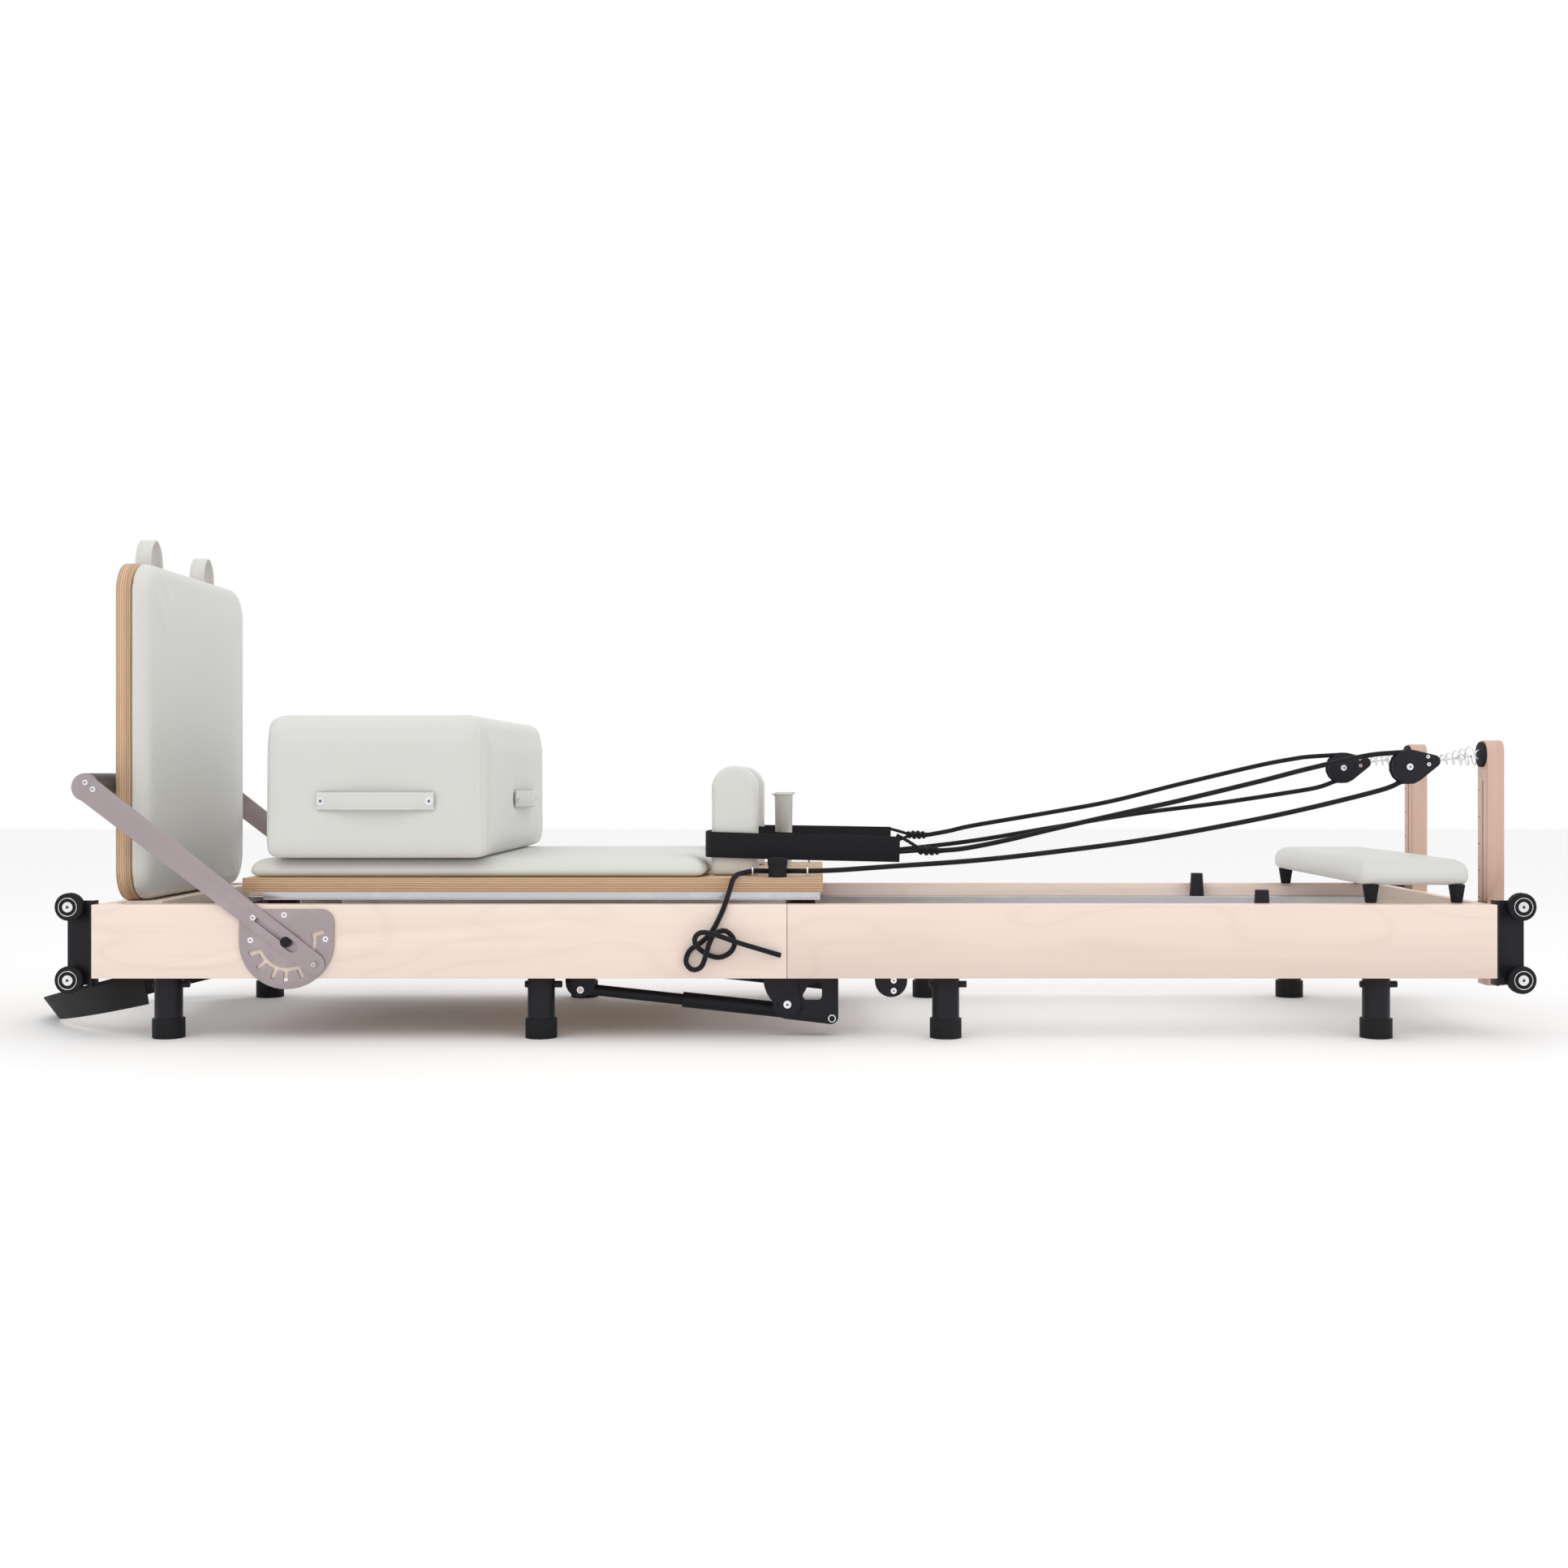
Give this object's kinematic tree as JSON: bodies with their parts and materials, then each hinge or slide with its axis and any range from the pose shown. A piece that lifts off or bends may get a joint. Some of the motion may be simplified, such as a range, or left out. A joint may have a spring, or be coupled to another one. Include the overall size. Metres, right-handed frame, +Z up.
{
  "type": "folding pilates reformer",
  "caption": "Folding wooden exercise reformer: spring carriage on rails, foot bar, jump board, sitting box, shoulder rests, rope pulleys on posts, standing platform.",
  "frame": {"origin": "middle of the footprint, on the floor", "axes": "+X from the foot bar end to the pulley end, +Y to the rear rail, +Z up"},
  "size_m": [2.6506, 0.7296, 0.88],
  "materials": {
    "maple": "satin lacquer",
    "post_wood": "satin lacquer",
    "plywood": "oiled edge",
    "upholstery": "fine-grained synthetic leather",
    "black_metal": "satin powder coat",
    "black_rubber": "matt",
    "steel": "metallic powder coat",
    "aluminium": "satin",
    "chrome": "polished",
    "webbing": "woven",
    "rope": "braided"
  },
  "bodies": {
    "left_frame": {"left_frame": "maple", "left_front_hinge_plate": "black_metal", "left_rear_hinge_plate": "black_metal", "left_front_wheel_bracket": "black_metal", "left_rear_wheel_bracket": "black_metal", "left_outer_front_leg": "black_metal", "left_outer_rear_leg": "black_metal", "left_inner_front_leg": "black_metal", "left_inner_rear_leg": "black_metal", "front_notch_plate": "steel", "rear_notch_plate": "steel", "spring_bar": "black_metal", "carriage_springs": "chrome", "foot_strap": "webbing"},
    "right_frame": {"right_frame": "maple", "right_front_hinge_plate": "black_metal", "right_rear_hinge_plate": "black_metal", "right_front_wheel_bracket": "black_metal", "right_rear_wheel_bracket": "black_metal", "right_outer_front_leg": "black_metal", "right_outer_rear_leg": "black_metal", "right_inner_front_leg": "black_metal", "right_inner_rear_leg": "black_metal", "front_rope": "rope", "rear_rope": "rope"},
    "carriage": {"carriage_deck": "plywood", "carriage_pad": "upholstery", "carriage_underframe": "aluminium", "front_shoulder_rest": "upholstery", "rear_shoulder_rest": "upholstery", "front_loop_post": "upholstery", "rear_loop_post": "upholstery"},
    "left_rollers": {"left_rollers": "black_rubber"},
    "right_rollers": {"right_rollers": "black_rubber"},
    "rope_ends": {"front_hand_strap": "webbing", "rear_hand_strap": "webbing"},
    "strut_rods": {"front_strut_rod": "black_metal", "rear_strut_rod": "black_metal"},
    "strut_tubes": {"front_strut_tube": "black_metal", "rear_strut_tube": "black_metal"},
    "foot_bar_shaft": {"foot_bar_shaft": "black_metal"},
    "foot_bar": {"foot_bar": "steel"},
    "jump_board": {"jump_board": "plywood", "jump_board_pad": "upholstery"},
    "sitting_box": {"sitting_box": "upholstery"},
    "platform": {"platform": "upholstery"},
    "front_riser": {"front_post": "post_wood"},
    "front_pulley": {"front_pulley_block": "black_metal"},
    "front_sheave": {"front_sheave": "black_metal"},
    "rear_riser": {"rear_post": "post_wood"},
    "rear_pulley": {"rear_pulley_block": "black_metal"},
    "rear_sheave": {"rear_sheave": "black_metal"},
    "left_front_upper_wheel": {"left_front_upper_wheel": "black_rubber"},
    "left_front_lower_wheel": {"left_front_lower_wheel": "black_rubber"},
    "left_rear_upper_wheel": {"left_rear_upper_wheel": "black_rubber"},
    "left_rear_lower_wheel": {"left_rear_lower_wheel": "black_rubber"},
    "right_front_upper_wheel": {"right_front_upper_wheel": "black_rubber"},
    "right_front_lower_wheel": {"right_front_lower_wheel": "black_rubber"},
    "right_rear_upper_wheel": {"right_rear_upper_wheel": "black_rubber"},
    "right_rear_lower_wheel": {"right_rear_lower_wheel": "black_rubber"}
  },
  "joints": [
    {"name": "frame_fold", "type": "hinge", "parent": "left_frame", "child": "right_frame", "pos_m": [0.0455, 0, 0.057], "axis": [0, 1, 0], "range_deg": [0, 172], "deforming": ["front_rope", "rear_rope", "front_hand_strap", "rear_hand_strap", "foot_strap"]},
    {"name": "carriage_slide", "type": "slide", "parent": "left_frame", "child": "carriage", "axis": [1, 0, 0], "range_m": [0, 0.72], "deforming": ["carriage_springs", "front_rope", "rear_rope"]},
    {"name": "rope_ends_slide", "type": "slide", "parent": "right_frame", "child": "rope_ends", "axis": [1, 0, 0], "range_m": [0, 0.72]},
    {"name": "left_roller_spin", "type": "hinge", "parent": "carriage", "child": "left_rollers", "pos_m": [-0.835, 0, 0.2298], "axis": [0, 1, 0], "continuous": true},
    {"name": "right_roller_spin", "type": "hinge", "parent": "carriage", "child": "right_rollers", "pos_m": [0.072, 0, 0.2298], "axis": [0, 1, 0], "continuous": true},
    {"name": "strut_tilt", "type": "hinge", "parent": "left_frame", "child": "strut_rods", "pos_m": [-0.3157, 0, 0.079], "axis": [0, 1, 0], "range_deg": [-6, 0]},
    {"name": "strut_slide", "type": "slide", "parent": "strut_rods", "child": "strut_tubes", "axis": [0.9944, 0, -0.106], "range_m": [-0.16, 0]},
    {"name": "foot_bar_swing", "type": "hinge", "parent": "left_frame", "child": "foot_bar_shaft", "pos_m": [-0.8079, 0, 0.1691], "axis": [0, -1, 0], "range_deg": [0, 47]},
    {"name": "foot_bar_pull", "type": "slide", "parent": "foot_bar_shaft", "child": "foot_bar", "axis": [-0.7921, 0, 0.6104], "range_m": [0, 0.014], "stiffness_N_per_m": 2000},
    {"name": "jump_board_lift", "type": "slide", "parent": "left_frame", "child": "jump_board", "axis": [0, 0, 1], "range_m": [0, 0.15]},
    {"name": "sitting_box_lift", "type": "slide", "parent": "carriage", "child": "sitting_box", "axis": [0, 0, 1], "range_m": [0, 0.15]},
    {"name": "platform_lift", "type": "slide", "parent": "right_frame", "child": "platform", "axis": [0, 0, 1], "range_m": [0, 0.1]},
    {"name": "front_post_height", "type": "slide", "parent": "right_frame", "child": "front_riser", "axis": [0, 0, 1], "range_m": [-0.075, 0], "deforming": ["front_rope"]},
    {"name": "front_pulley_swing", "type": "hinge", "parent": "front_riser", "child": "front_pulley", "pos_m": [1.2715, -0.203, 0.49], "axis": [0, 1, 0], "range_deg": [-12, 12], "stiffness_Nm_per_rad": 20, "deforming": ["front_rope"]},
    {"name": "front_sheave_spin", "type": "hinge", "parent": "front_pulley", "child": "front_sheave", "pos_m": [1.146, -0.203, 0.468], "axis": [0, 1, 0], "continuous": true},
    {"name": "rear_post_height", "type": "slide", "parent": "right_frame", "child": "rear_riser", "axis": [0, 0, 1], "range_m": [-0.075, 0], "deforming": ["rear_rope"]},
    {"name": "rear_pulley_swing", "type": "hinge", "parent": "rear_riser", "child": "rear_pulley", "pos_m": [1.2715, 0.203, 0.49], "axis": [0, 1, 0], "range_deg": [-12, 12], "stiffness_Nm_per_rad": 20, "deforming": ["rear_rope"]},
    {"name": "rear_sheave_spin", "type": "hinge", "parent": "rear_pulley", "child": "rear_sheave", "pos_m": [1.146, 0.203, 0.468], "axis": [0, 1, 0], "continuous": true},
    {"name": "left_front_upper_wheel_spin", "type": "hinge", "parent": "left_frame", "child": "left_front_upper_wheel", "pos_m": [-1.1814, -0.325, 0.228], "axis": [0, 1, 0], "continuous": true},
    {"name": "left_front_lower_wheel_spin", "type": "hinge", "parent": "left_frame", "child": "left_front_lower_wheel", "pos_m": [-1.1814, -0.325, 0.103], "axis": [0, 1, 0], "continuous": true},
    {"name": "left_rear_upper_wheel_spin", "type": "hinge", "parent": "left_frame", "child": "left_rear_upper_wheel", "pos_m": [-1.1814, 0.325, 0.228], "axis": [0, 1, 0], "continuous": true},
    {"name": "left_rear_lower_wheel_spin", "type": "hinge", "parent": "left_frame", "child": "left_rear_lower_wheel", "pos_m": [-1.1814, 0.325, 0.103], "axis": [0, 1, 0], "continuous": true},
    {"name": "right_front_upper_wheel_spin", "type": "hinge", "parent": "right_frame", "child": "right_front_upper_wheel", "pos_m": [1.3016, -0.325, 0.228], "axis": [0, 1, 0], "continuous": true},
    {"name": "right_front_lower_wheel_spin", "type": "hinge", "parent": "right_frame", "child": "right_front_lower_wheel", "pos_m": [1.3016, -0.325, 0.103], "axis": [0, 1, 0], "continuous": true},
    {"name": "right_rear_upper_wheel_spin", "type": "hinge", "parent": "right_frame", "child": "right_rear_upper_wheel", "pos_m": [1.3016, 0.325, 0.228], "axis": [0, 1, 0], "continuous": true},
    {"name": "right_rear_lower_wheel_spin", "type": "hinge", "parent": "right_frame", "child": "right_rear_lower_wheel", "pos_m": [1.3016, 0.325, 0.103], "axis": [0, 1, 0], "continuous": true}
  ],
  "couplings": [
    {"joint": "rope_ends_slide", "follows": "carriage_slide", "ratio": 1},
    {"joint": "left_roller_spin", "follows": "carriage_slide", "rad_per_m": 45.455},
    {"joint": "right_roller_spin", "follows": "carriage_slide", "rad_per_m": 45.455},
    {"joint": "strut_tilt", "follows": "frame_fold", "ratio": -0.0256},
    {"joint": "strut_slide", "follows": "frame_fold", "m_per_rad": -0.053}
  ]
}
